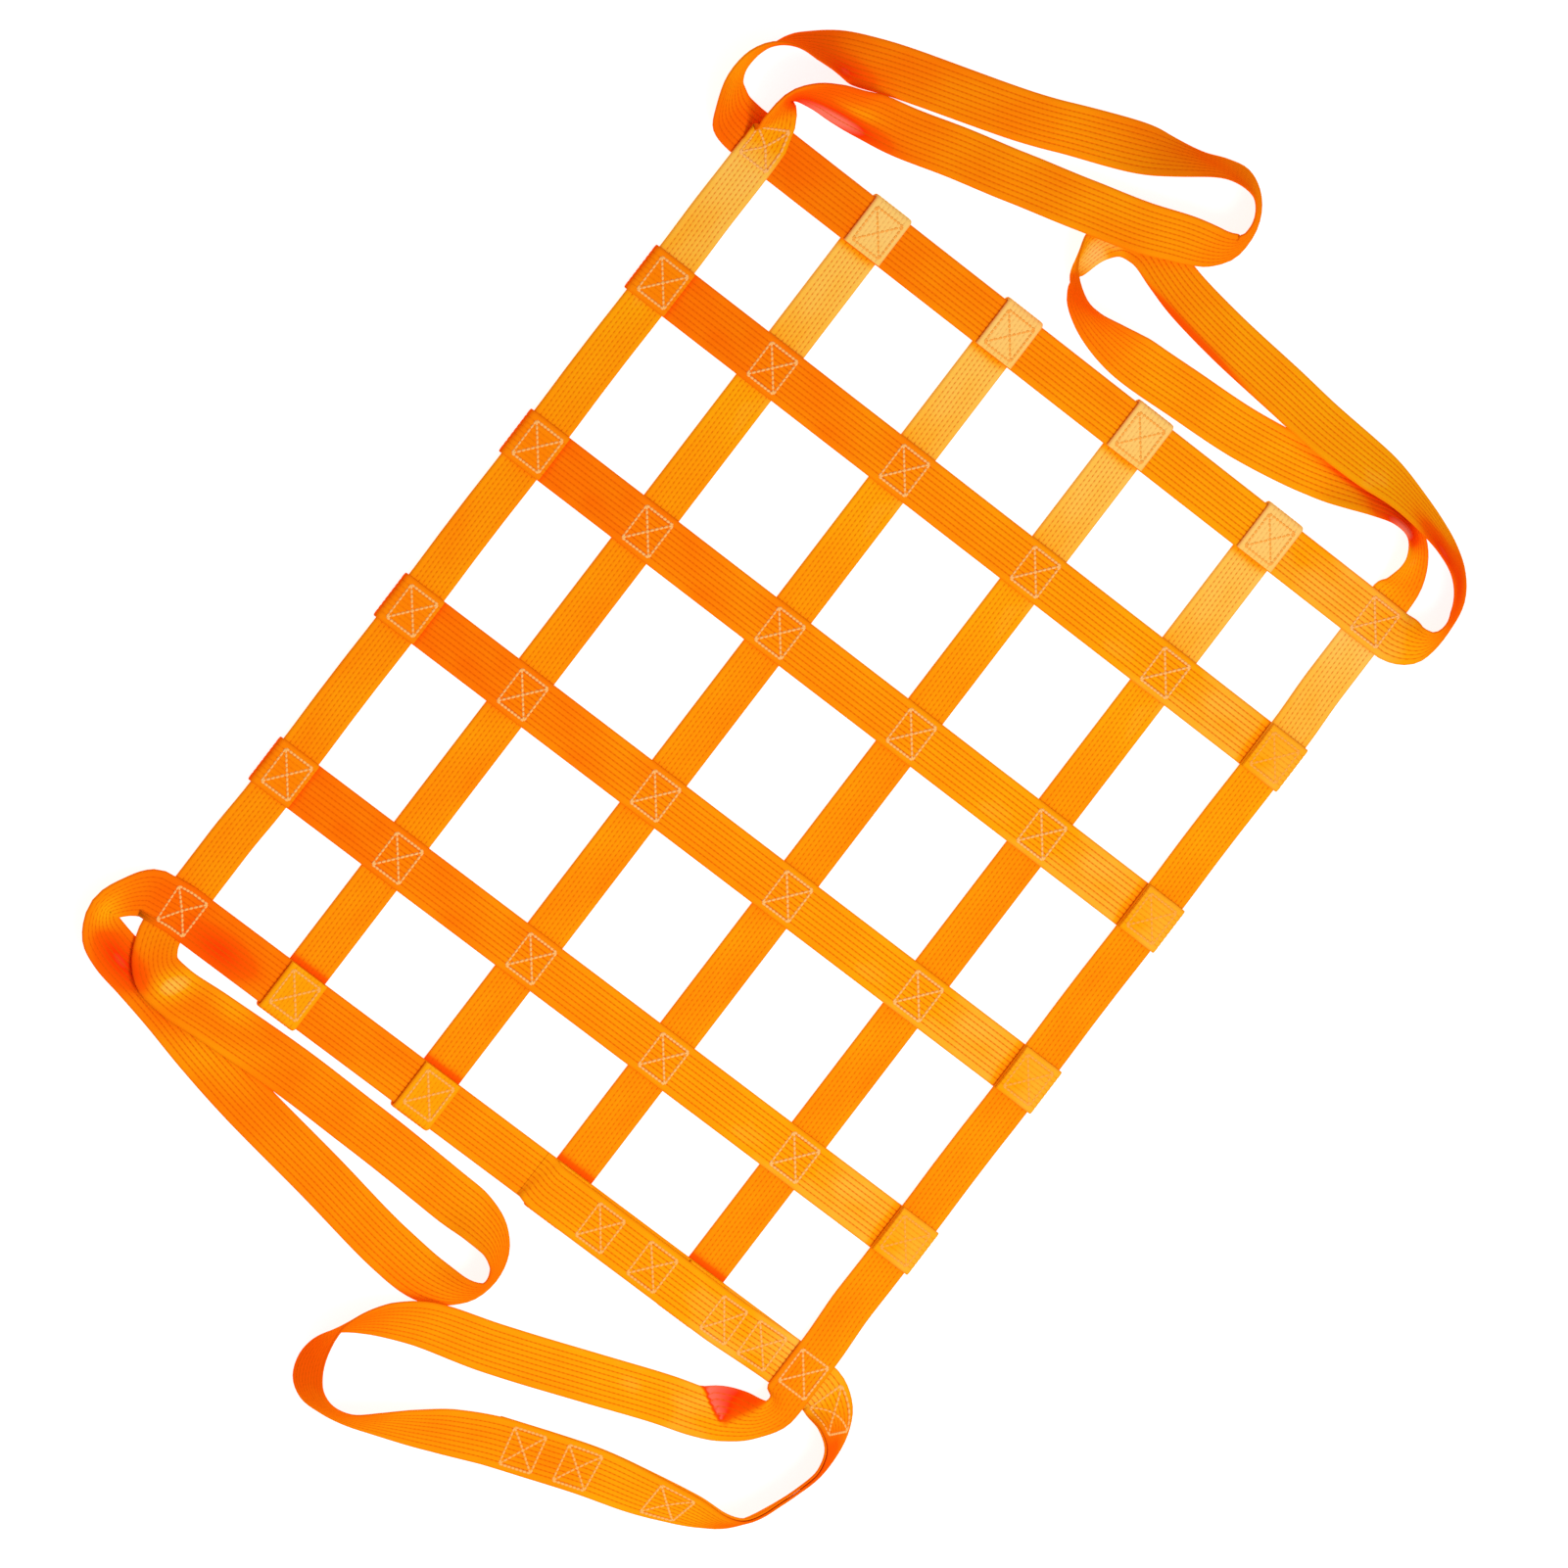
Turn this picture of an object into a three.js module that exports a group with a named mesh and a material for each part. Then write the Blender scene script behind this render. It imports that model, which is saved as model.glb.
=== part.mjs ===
import * as THREE from 'three';

// Cargo lifting net of flat webbing, lying on the ground.
// Lengths are millimetres, angles are degrees, Z is up.
// One long belt makes the four edges and the four corner loops.
// Four cross straps run along X and four run along Y between the edges.

// Webbing
const WEB_WIDTH = 50;
const WEB_THICK = 2.8;
const WEB_LIP = 0.9;        // how far the rounded edge stands out past the flat faces
const PLY_GAP = 0.3;        // clear space between two layers
const PLY = WEB_THICK + PLY_GAP;
const FLOOR_LEVEL = WEB_THICK / 2;

// Grid
const INNER_PITCH = 192;    // between two cross straps, centre to centre
const OUTER_PITCH = 160;    // last cross strap to the edge belt
const HALF = 1.5 * INNER_PITCH + OUTER_PITCH;
const LINES = [-1.5, -0.5, 0.5, 1.5].map((n) => n * INNER_PITCH);
const CENTRE_X = 4.6;       // moves the grid so that the whole net is centred
const CENTRE_Y = 19.6;

// Crossings: a strap that climbs over another one
const HUMP_FLAT = WEB_WIDTH / 2 + 1.5;
const HUMP_RAMP = 58;
const RAMP_STEPS = [0, 0.25, 0.5, 0.75, 1];
const EDGE_SAG = 0.3;       // share of the climb that an edge loses between two crossings

// Fold of a strap end round the edge belt
const FOLD_RADIUS = PLY;
const FOLD_AT = HALF + WEB_WIDTH / 2 - 0.8;
const FOLD_STEPS = 6;
const TAIL_END = HALF - WEB_WIDTH / 2 + 1;

// Splice of the belt: its two ends lie one on the other
const SPLICE_START = 68;    // x of the upper end, on the edge near corner C

// Corner loops, a row per bend of the webbing.
// x, y: middle of the webbing in plan, from the grid's centre
// roll: turn about its own run, 0 lies flat, 90 stands on edge with the left edge up
// lift: how far it is held off the ground
// ply: 1 where the upper layer of the splice lies
const LOOP_COLUMNS = ['x', 'y', 'roll', 'lift', 'ply'];

const LOOP_C = [
  [478, -449, 0, 0, 1],
  [495, -456, -8, 0, 1],
  [509, -468, -28, 0, 1],
  [520, -487, -44, 0, 1],
  [523, -513, -52, 0, 1],
  [515, -539, -55, 0, 1],
  [504, -563, -57, 0, 1],
  [492, -584, -60, 0, 1],
  [477, -599, -62, 0, 1],
  [457, -608, -58, 0, 1],
  [428, -615, -42, 0, 1],
  [378, -628, -22, 0, 1],
  [322, -641, -6, 0, 1],
  [265, -657, 0, 0, 1],
  [209, -673, 0, 0, 1],
  [153, -693, -14, 0, 0],
  [98, -714, -38, 0, 0],
  [62, -729, -55, 0, 0],
  [33, -739, -70, 0, 0],
  [5, -741, -76, 0, 0],
  [-16, -732, -82, 0, 0],
  [-28, -714, -92, 0, 0],
  [-31, -694, -105, 0, 0],
  [-27, -677, -118, 0, 0],
  [-15, -662, -130, 0, 0],
  [10, -644, -146, 0, 0],
  [57, -624, -165, 0, 0],
  [145, -603, -179, 0, 0],
  [255, -571, -180, 0, 0],
  [338, -546, -178, 0, 0],
  [384, -534, -174, 0, 0],
  [413, -523, -163, 0.5, 0],
  [435, -507, -156, 4, 0],
  [446, -490, -165, 6.2, 0],
  [448, -475, -180, 6.2, 0],
];

const LOOP_B = [
  [448, 476, 0, 0, 0],
  [446, 493, 10, 0, 0],
  [436, 512, 25, 0, 0],
  [418, 530, 45, 0, 0],
  [396, 543, 55, 0, 0],
  [370, 546, 55, 0, 0],
  [343, 542, 45, 0, 0],
  [318, 536, 25, 0, 0],
  [290, 527, 0, 0, 0],
  [200, 512, 0, 0, 0],
  [107, 506, 0, 0, 0],
  [50, 503, -5, 0, 0],
  [8, 503, -30, 0, 0],
  [-30, 506, -55, 0, 0],
  [-60, 512, -80, 0, 0],
  [-78, 523, -105, 0, 0],
  [-86, 538, -132, 0, 0],
  [-84, 555, -155, 0, 0],
  [-75, 575, -168, 0, 0],
  [-57, 592, -176, 0, 0],
  [-30, 597, -185, 0, 0],
  [4, 588, -192, 0, 0],
  [36, 581, -192, 0, 0],
  [106, 573, -190, 0, 0],
  [200, 567, -190, 0, 0],
  [260, 563, -195, 0, 0],
  [318, 562, -205, 0, 0],
  [360, 562, -220, 0, 0],
  [400, 557, -230, 0, 0],
  [435, 550, -235, 0, 0],
  [465, 540, -235, 0, 0],
  [489, 525, -230, 0, 0],
  [504, 507, -226, 0, 0],
  [509, 488, -228, 0, 0],
  [507, 470, -222, 0.5, 0],
  [497, 456, -202, 2.5, 0],
  [476, 448, -180, 3.1, 0],
];

const LOOP_A = [
  [-474, 448, 0, 0, 0],
  [-503, 452, 14, 0, 0],
  [-521, 464, 34, 0, 0],
  [-532, 484, 42, 0, 0],
  [-532, 506, 48, 0, 0],
  [-525, 522, 58, 0, 0],
  [-512, 534, 74, 0, 0],
  [-494, 543, 98, 0, 0],
  [-466, 553, 122, 0, 0],
  [-425, 564, 158, 0, 0],
  [-375, 579, 176, 0, 0],
  [-225, 620, 180, 0, 0],
  [-168, 640, 178, 0, 0],
  [-120, 658, 160, 0, 0],
  [-79, 676, 122, 0, 0],
  [-42, 691, 100, 0, 0],
  [-12, 699, 104, 0, 0],
  [11, 699, 114, 0, 0],
  [29, 690, 122, 0, 0],
  [41, 676, 129, 0, 0],
  [46, 659, 135, 0, 0],
  [42, 643, 141, 2, 0],
  [24, 631, 152, 7, 0],
  [-10, 621, 168, 16, 0],
  [-66, 603, 179, 22, 0],
  [-130, 587, 180, 20, 0],
  [-200, 569, 180, 8, 0],
  [-270, 552, 180, 0, 0],
  [-330, 537, 178, 0, 0],
  [-372, 530, 167, 0, 0],
  [-405, 524, 150, 0, 0],
  [-434, 519, 137, 0, 0],
  [-458, 510, 128, 0, 0],
  [-470, 495, 132, 0.5, 0],
  [-466, 480, 150, 2.5, 0],
  [-455, 467, 172, 3.1, 0],
];

const LOOP_D = [
  [-448, -474, 0, 0, 0],
  [-444, -492, -3, 3.4, 0],
  [-430, -507, -7, 4, 0],
  [-400, -512, -9, 4, 0],
  [-345, -510, -5, 3.4, 0],
  [-233, -507, 0, 3.2, 0],
  [-150, -508, 0, 0.5, 0],
  [-88, -509, 0, 0, 0],
  [0, -512, -2, 0, 0],
  [34, -513, -22, 0, 0],
  [61, -519, -36, 0, 0],
  [78, -532, -42, 0, 0],
  [84, -550, -46, 0, 0],
  [80, -567, -48, 0, 0],
  [64, -579, -42, 0, 0],
  [33, -587, -20, 0, 0],
  [-20, -585, -2, 0, 0],
  [-133, -570, 0, 0, 0],
  [-260, -554, 0, 0, 0],
  [-331, -542, 0, 0, 0],
  [-395, -529, 1, 0, 0],
  [-442, -521, 4, 0, 0],
  [-484, -515, 12, 0, 0],
  [-512, -506, 21, 0, 0],
  [-524, -489, 26, 0, 0],
  [-510, -468, 18, 1, 0],
  [-487, -452, 5, 3.1, 0],
];

const named = (row) => Object.fromEntries(LOOP_COLUMNS.map((name, i) => [name, row[i]]));
const rows = (table) => table.map(named);
const radians = THREE.MathUtils.degToRad;
const UP = new THREE.Vector3(0, 0, 1);

// A smooth climb from 0 to 1
const climb = (t) => t * t * (3 - 2 * t);

// One stretch of edge: straight in plan, with a hump of the given height at each crossing.
// The webbing is stiff, so that from one crossing to the next it bridges and sags only a little.
// crossings: rows of where along the run and how high the webbing climbs
function edgeStations(from, to, crossings, ply) {
  const length = from.distanceTo(to);
  const marks = [0, length];
  for (const { at } of crossings) {
    for (const side of [-1, 1]) {
      for (const t of RAMP_STEPS) {
        marks.push(at + side * (HUMP_FLAT + HUMP_RAMP * t));
      }
    }
  }
  const first = Math.min(...crossings.map(({ at }) => at));
  const last = Math.max(...crossings.map(({ at }) => at));
  const bridge = (1 - EDGE_SAG) * Math.min(...crossings.map(({ rise }) => rise));
  const height = (along) => {
    const base = along > first && along < last ? bridge : 0;
    return Math.max(...crossings.map(({ at, rise }) => {
      const past = Math.abs(along - at) - HUMP_FLAT;
      return base + (rise - base) * climb(1 - THREE.MathUtils.clamp(past / HUMP_RAMP, 0, 1));
    }));
  };
  const places = [...new Set(marks.map((along) => Math.round(along * 10) / 10))]
    .filter((along) => along >= 0 && along <= length)
    .sort((a, b) => a - b);
  return places.map((along) => {
    const p = from.clone().lerp(to, along / length);
    return { x: p.x, y: p.y, roll: 0, lift: height(along), ply };
  });
}

// A loop: a smooth curve through the rows of its table, in short steps where it turns or rolls
function loopStations(table, before, after) {
  const knots = rows(table);
  const guide = [before, ...knots, after];
  const plan = new THREE.CatmullRomCurve3(guide.map((k) => new THREE.Vector3(k.x, k.y, 0)));
  const rolls = guide.map((k, i) => new THREE.Vector3(i, k.roll, 0));
  const turn = new THREE.CatmullRomCurve3(rolls, false, 'catmullrom');
  const stations = [];
  for (let i = 1; i < guide.length - 1; i += 1) {
    const a = guide[i];
    const b = guide[i + 1];
    const length = Math.hypot(b.x - a.x, b.y - a.y);
    const last = i === guide.length - 2;
    const turns = Math.abs(b.roll - a.roll) / 9;
    const bends = Math.min(length / 16, 2);
    const steps = last ? 1 : Math.ceil(Math.max(1, turns, bends));
    for (let k = 0; k < steps; k += 1) {
      const t = (i + k / steps) / (guide.length - 1);
      const f = k / steps;
      const p = plan.getPoint(t);
      stations.push({
        x: p.x,
        y: p.y,
        roll: turn.getPoint(t).y,
        lift: THREE.MathUtils.lerp(a.lift, b.lift, climb(f)),
        ply: THREE.MathUtils.lerp(a.ply, b.ply, f),
      });
    }
  }
  return stations;
}

// Six-sided section of the webbing: flat faces and a rounded edge on each side
const FLAT = WEB_WIDTH / 2 - WEB_LIP;
const SECTION = [
  [WEB_WIDTH / 2, 0],
  [FLAT, WEB_THICK / 2],
  [-FLAT, WEB_THICK / 2],
  [-WEB_WIDTH / 2, 0],
  [-FLAT, -WEB_THICK / 2],
  [FLAT, -WEB_THICK / 2],
];

// Webbing swept along a list of frames: middle, direction across and face normal.
// Both faces bend along the same diagonal, so that a twist keeps its thickness
// and two layers keep their gap.
function webbing(frames) {
  const n = SECTION.length;
  const points = [];
  const faces = [];
  for (const { middle, across, normal } of frames) {
    for (const [w, h] of SECTION) {
      const p = middle.clone().addScaledVector(across, w).addScaledVector(normal, h);
      points.push(p.x + CENTRE_X, p.y + CENTRE_Y, p.z);
    }
  }
  for (let i = 0; i + 1 < frames.length; i += 1) {
    for (let k = 0; k < n; k += 1) {
      const a = i * n + k;
      const b = i * n + (k + 1) % n;
      if (k < n / 2 === frames[i].faceUp) {
        faces.push(a, b, b + n, a, b + n, a + n);
      } else {
        faces.push(a, b, a + n, b, b + n, a + n);
      }
    }
  }
  const end = (frames.length - 1) * n;
  for (let k = 1; k + 1 < n; k += 1) {
    faces.push(0, k + 1, k);
    faces.push(end, end + k, end + k + 1);
  }
  const geometry = new THREE.BufferGeometry();
  geometry.setAttribute('position', new THREE.Float32BufferAttribute(points, 3));
  geometry.setIndex(faces);
  geometry.computeVertexNormals();
  return geometry;
}

// Frames of webbing that lies, leans or stands on the ground
function groundFrames(stations) {
  const middles = stations.map(({ x, y, roll, lift }) => {
    const r = radians(roll);
    const stand = WEB_WIDTH / 2 * Math.abs(Math.sin(r)) + FLOOR_LEVEL * Math.abs(Math.cos(r));
    return new THREE.Vector3(x, y, stand + lift);
  });
  return stations.map(({ roll, ply = 0 }, i) => {
    const ahead = middles[Math.min(i + 1, middles.length - 1)];
    const behind = middles[Math.max(i - 1, 0)];
    const along = ahead.clone().sub(behind).normalize();
    const left = new THREE.Vector3().crossVectors(UP, along).normalize();
    const r = radians(roll);
    const across = left.multiplyScalar(Math.cos(r)).addScaledVector(UP, Math.sin(r));
    across.addScaledVector(along, -across.dot(along)).normalize();
    const normal = new THREE.Vector3().crossVectors(along, across);
    const middle = middles[i].clone().addScaledVector(normal, ply * PLY);
    return { middle, across, normal, faceUp: Math.cos(r) > 0 };
  });
}

// Corners and edges of the belt, in the order in which the webbing runs
const corner = (sx, sy) => new THREE.Vector3(sx * HALF, sy * HALF, 0);
const A = corner(-1, 1);
const B = corner(1, 1);
const C = corner(1, -1);
const D = corner(-1, -1);
const humps = (rise, extra = []) => [...LINES.map((at) => ({ at: HALF + at, rise })), ...extra];
const knot = (p, roll, lift = 0, ply = 0) => ({ x: p.x, y: p.y, roll, lift, ply });
const turned = (stations, roll) => stations.map((s) => ({ ...s, roll: s.roll + roll }));

// The belt climbs one layer over each strap, and over the belt itself where it leaves a loop
const leaving = [{ at: 0, rise: PLY }];
const spliceFrom = new THREE.Vector3(SPLICE_START, -HALF, 0);
const spliceHumps = LINES.slice(2).map((at) => ({ at: at - SPLICE_START, rise: 2 * PLY }));
const cdUpper = edgeStations(spliceFrom, C, spliceHumps, 1);
const bc = edgeStations(C, B, humps(PLY, [{ at: 0, rise: 2 * PLY }]), 0);
const ba = edgeStations(B, A, humps(PLY, leaving), 0);
const ad = edgeStations(A, D, humps(PLY, leaving), 0);
const dc = edgeStations(D, C, humps(PLY, leaving), 0);

// The lower layer of the splice follows the first part of the same loop and stops on its long run
const spliceRows = LOOP_C.filter((row) => row[4] === 1).map((row) => [...row.slice(0, 4), 0]);
const stop = { x: 195, y: -677, roll: 0, lift: 0, ply: 0 };

const belt = [
  ...cdUpper,
  ...loopStations(LOOP_C, knot(C, 0, 0, 1), knot(C, -180, 2 * PLY)),
  ...turned(bc, -180),
  ...turned(loopStations(LOOP_B, knot(B, 0), knot(B, -180, PLY)), -180),
  ...turned(ba, -360),
  ...turned(loopStations(LOOP_A, knot(A, 0), knot(A, 180, PLY)), -360),
  ...turned(ad, -180),
  ...turned(loopStations(LOOP_D, knot(D, 0), knot(D, 0, PLY)), -180),
  ...turned(dc, -180),
  ...turned(loopStations(spliceRows, knot(C, 0), stop), -180),
];

// A cross strap: flat under both edges, folded round each of them, tail sewn down on top.
// crossings: places where it climbs over other straps
function strapPath(crossings) {
  const path = [];
  const foldCentre = FLOOR_LEVEL + FOLD_RADIUS;
  path.push([-TAIL_END, foldCentre + FOLD_RADIUS]);
  for (let i = 0; i <= FOLD_STEPS; i += 1) {
    const turn = Math.PI * (0.5 + i / FOLD_STEPS);
    path.push([-FOLD_AT + FOLD_RADIUS * Math.cos(turn), foldCentre + FOLD_RADIUS * Math.sin(turn)]);
  }
  for (const at of crossings) {
    for (const t of [...RAMP_STEPS].reverse()) {
      path.push([at - HUMP_FLAT - HUMP_RAMP * t, FLOOR_LEVEL + PLY * climb(1 - t)]);
    }
    for (const t of RAMP_STEPS) {
      path.push([at + HUMP_FLAT + HUMP_RAMP * t, FLOOR_LEVEL + PLY * climb(1 - t)]);
    }
  }
  for (let i = 0; i <= FOLD_STEPS; i += 1) {
    const turn = Math.PI * (-0.5 + i / FOLD_STEPS);
    path.push([FOLD_AT + FOLD_RADIUS * Math.cos(turn), foldCentre + FOLD_RADIUS * Math.sin(turn)]);
  }
  path.push([TAIL_END, foldCentre + FOLD_RADIUS]);
  return path;
}

// Frames of a strap that keeps to one upright plane
function strapFrames(path, offset, alongX) {
  const across = alongX ? new THREE.Vector3(0, 1, 0) : new THREE.Vector3(-1, 0, 0);
  const place = (s, z) => (alongX ? new THREE.Vector3(s, offset, z) : new THREE.Vector3(offset, s, z));
  const middles = path.map(([s, z]) => place(s, z));
  return middles.map((middle, i) => {
    const ahead = middles[Math.min(i + 1, middles.length - 1)];
    const behind = middles[Math.max(i - 1, 0)];
    const along = ahead.clone().sub(behind).normalize();
    return { middle, across, normal: new THREE.Vector3().crossVectors(along, across), faceUp: true };
  });
}

const woven = (name, color) => new THREE.MeshStandardMaterial({ name, color, roughness: 0.8 });
const beltWebbing = woven('belt_webbing', 0xf58210);
const xWebbing = woven('x_strap_webbing', 0xf07a0c);
const yWebbing = woven('y_strap_webbing', 0xf79a22);

const net = new THREE.Group();
function add(name, geometry, material) {
  const mesh = new THREE.Mesh(geometry, material);
  mesh.name = name;
  net.add(mesh);
}

add('perimeter_belt', webbing(groundFrames(belt)), beltWebbing);
LINES.forEach((offset, i) => {
  add(`x_strap_${i + 1}`, webbing(strapFrames(strapPath(LINES), offset, true)), xWebbing);
  add(`y_strap_${i + 1}`, webbing(strapFrames(strapPath([]), offset, false)), yWebbing);
});

export default net;
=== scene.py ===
# %% [markdown]
# # A cargo lifting net of flat webbing
# The net lies on a pale floor. One long belt makes its four edges and its four corner loops,
# and eight straps cross inside it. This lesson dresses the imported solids: woven webbing with
# ribs and dotted binder lines, and a box of stitches wherever two layers are sewn together.

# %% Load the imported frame
import bpy
import numpy as np
from mathutils import Matrix


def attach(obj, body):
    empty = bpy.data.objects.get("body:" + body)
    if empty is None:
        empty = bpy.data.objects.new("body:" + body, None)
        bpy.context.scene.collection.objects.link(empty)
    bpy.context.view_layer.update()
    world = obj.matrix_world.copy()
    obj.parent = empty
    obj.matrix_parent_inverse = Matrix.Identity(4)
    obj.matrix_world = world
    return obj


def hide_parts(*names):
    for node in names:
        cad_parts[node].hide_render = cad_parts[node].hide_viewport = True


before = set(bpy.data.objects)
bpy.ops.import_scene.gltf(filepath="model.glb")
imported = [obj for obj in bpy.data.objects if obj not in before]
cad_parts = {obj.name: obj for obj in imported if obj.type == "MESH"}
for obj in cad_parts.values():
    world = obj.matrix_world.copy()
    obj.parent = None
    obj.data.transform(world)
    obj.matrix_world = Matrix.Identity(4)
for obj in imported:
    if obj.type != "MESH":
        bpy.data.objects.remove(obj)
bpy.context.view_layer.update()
MM = 0.001

# %% [markdown]
# ## The camera
# The picture was taken from far away with a long lens: the net's two far corners are as far apart
# as the near ones. A camera 30 m off with a long lens gives the same flat view, tilted 36 degrees
# from straight down and rolled, so that height in the scene leans to the lower right of the picture.
# An orthographic camera would look almost the same, without the very slight convergence of a lens.

# %% Camera
def placed(x, y, z, at):
    """Matrix of an object whose axes point along x, y and z and that stands at a place."""
    return Matrix([[*row, p] for row, p in zip(np.column_stack([x, y, z]), at)] + [[0.0, 0.0, 0.0, 1.0]])


# sine and cosine of the camera's angle above the floor, then of its roll about the line of sight
RISE_SIN, RISE_COS = 0.8113, 0.5846
ROLL_SIN, ROLL_COS = 0.6073, 0.7945
CAMERA_AWAY, PICTURE_WIDTH, SENSOR, FAR_CLIP = 30.0, 1.473, 36.0, 200.0
LOOK_AT = np.array([0.0226, 0.0056, 0.0])
right = np.array([ROLL_COS * RISE_SIN, ROLL_SIN, ROLL_COS * RISE_COS])
up = np.array([-ROLL_SIN * RISE_SIN, ROLL_COS, -ROLL_SIN * RISE_COS])
back = np.array([-RISE_COS, 0.0, RISE_SIN])
eye = LOOK_AT + back * CAMERA_AWAY

camera_data = bpy.data.cameras.new("camera")
camera_data.sensor_width = SENSOR
camera_data.lens = SENSOR * CAMERA_AWAY / PICTURE_WIDTH
camera_data.clip_end = FAR_CLIP
camera = bpy.data.objects.new("camera", camera_data)
camera.matrix_world = placed(right, up, back, eye)
bpy.context.collection.objects.link(camera)
bpy.context.scene.camera = camera
print("camera at", eye.round(2), "lens", round(camera_data.lens))

# %% [markdown]
# ## The routes of the webbing
# Each corner loop was read from the picture as a row for every bend: where the middle of the
# webbing is, how far it has rolled about its own run, how far it is held off the floor, and
# whether it is the upper layer of the splice. The rows are the same as those of the solids,
# in millimetres from the middle of the grid.

# %% Rows of the four loops
# columns: x, y, roll, lift, ply
LOOP_C = np.array([
    (478, -449, 0, 0, 1), (495, -456, -8, 0, 1), (509, -468, -28, 0, 1), (520, -487, -44, 0, 1),
    (523, -513, -52, 0, 1), (515, -539, -55, 0, 1), (504, -563, -57, 0, 1), (492, -584, -60, 0, 1),
    (477, -599, -62, 0, 1), (457, -608, -58, 0, 1), (428, -615, -42, 0, 1), (378, -628, -22, 0, 1),
    (322, -641, -6, 0, 1), (265, -657, 0, 0, 1), (209, -673, 0, 0, 1), (153, -693, -14, 0, 0),
    (98, -714, -38, 0, 0), (62, -729, -55, 0, 0), (33, -739, -70, 0, 0), (5, -741, -76, 0, 0),
    (-16, -732, -82, 0, 0), (-28, -714, -92, 0, 0), (-31, -694, -105, 0, 0), (-27, -677, -118, 0, 0),
    (-15, -662, -130, 0, 0), (10, -644, -146, 0, 0), (57, -624, -165, 0, 0), (145, -603, -179, 0, 0),
    (255, -571, -180, 0, 0), (338, -546, -178, 0, 0), (384, -534, -174, 0, 0), (413, -523, -163, 0.5, 0),
    (435, -507, -156, 4, 0), (446, -490, -165, 6.2, 0), (448, -475, -180, 6.2, 0),
])
LOOP_B = np.array([
    (448, 476, 0, 0, 0), (446, 493, 10, 0, 0), (436, 512, 25, 0, 0), (418, 530, 45, 0, 0),
    (396, 543, 55, 0, 0), (370, 546, 55, 0, 0), (343, 542, 45, 0, 0), (318, 536, 25, 0, 0),
    (290, 527, 0, 0, 0), (200, 512, 0, 0, 0), (107, 506, 0, 0, 0), (50, 503, -5, 0, 0),
    (8, 503, -30, 0, 0), (-30, 506, -55, 0, 0), (-60, 512, -80, 0, 0), (-78, 523, -105, 0, 0),
    (-86, 538, -132, 0, 0), (-84, 555, -155, 0, 0), (-75, 575, -168, 0, 0), (-57, 592, -176, 0, 0),
    (-30, 597, -185, 0, 0), (4, 588, -192, 0, 0), (36, 581, -192, 0, 0), (106, 573, -190, 0, 0),
    (200, 567, -190, 0, 0), (260, 563, -195, 0, 0), (318, 562, -205, 0, 0), (360, 562, -220, 0, 0),
    (400, 557, -230, 0, 0), (435, 550, -235, 0, 0), (465, 540, -235, 0, 0), (489, 525, -230, 0, 0),
    (504, 507, -226, 0, 0), (509, 488, -228, 0, 0), (507, 470, -222, 0.5, 0), (497, 456, -202, 2.5, 0),
    (476, 448, -180, 3.1, 0),
])
LOOP_A = np.array([
    (-474, 448, 0, 0, 0), (-503, 452, 14, 0, 0), (-521, 464, 34, 0, 0), (-532, 484, 42, 0, 0),
    (-532, 506, 48, 0, 0), (-525, 522, 58, 0, 0), (-512, 534, 74, 0, 0), (-494, 543, 98, 0, 0),
    (-466, 553, 122, 0, 0), (-425, 564, 158, 0, 0), (-375, 579, 176, 0, 0), (-225, 620, 180, 0, 0),
    (-168, 640, 178, 0, 0), (-120, 658, 160, 0, 0), (-79, 676, 122, 0, 0), (-42, 691, 100, 0, 0),
    (-12, 699, 104, 0, 0), (11, 699, 114, 0, 0), (29, 690, 122, 0, 0), (41, 676, 129, 0, 0),
    (46, 659, 135, 0, 0), (42, 643, 141, 2, 0), (24, 631, 152, 7, 0), (-10, 621, 168, 16, 0),
    (-66, 603, 179, 22, 0), (-130, 587, 180, 20, 0), (-200, 569, 180, 8, 0), (-270, 552, 180, 0, 0),
    (-330, 537, 178, 0, 0), (-372, 530, 167, 0, 0), (-405, 524, 150, 0, 0), (-434, 519, 137, 0, 0),
    (-458, 510, 128, 0, 0), (-470, 495, 132, 0.5, 0), (-466, 480, 150, 2.5, 0), (-455, 467, 172, 3.1, 0),
])
LOOP_D = np.array([
    (-448, -474, 0, 0, 0), (-444, -492, -3, 3.4, 0), (-430, -507, -7, 4, 0), (-400, -512, -9, 4, 0),
    (-345, -510, -5, 3.4, 0), (-233, -507, 0, 3.2, 0), (-150, -508, 0, 0.5, 0), (-88, -509, 0, 0, 0),
    (0, -512, -2, 0, 0), (34, -513, -22, 0, 0), (61, -519, -36, 0, 0), (78, -532, -42, 0, 0),
    (84, -550, -46, 0, 0), (80, -567, -48, 0, 0), (64, -579, -42, 0, 0), (33, -587, -20, 0, 0),
    (-20, -585, -2, 0, 0), (-133, -570, 0, 0, 0), (-260, -554, 0, 0, 0), (-331, -542, 0, 0, 0),
    (-395, -529, 1, 0, 0), (-442, -521, 4, 0, 0), (-484, -515, 12, 0, 0), (-512, -506, 21, 0, 0),
    (-524, -489, 26, 0, 0), (-510, -468, 18, 1, 0), (-487, -452, 5, 3.1, 0),
])
print("rows", [len(t) for t in (LOOP_C, LOOP_B, LOOP_A, LOOP_D)])

# %% [markdown]
# ## Webbing and grid
# The webbing is 50 mm wide and almost 3 mm thick. Layers that are sewn together lie one ply apart,
# which is a little more than the thickness. Four straps each way lie evenly spaced inside the
# square of the edge belt, so the places of straps and edges follow from these few sizes.

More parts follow.
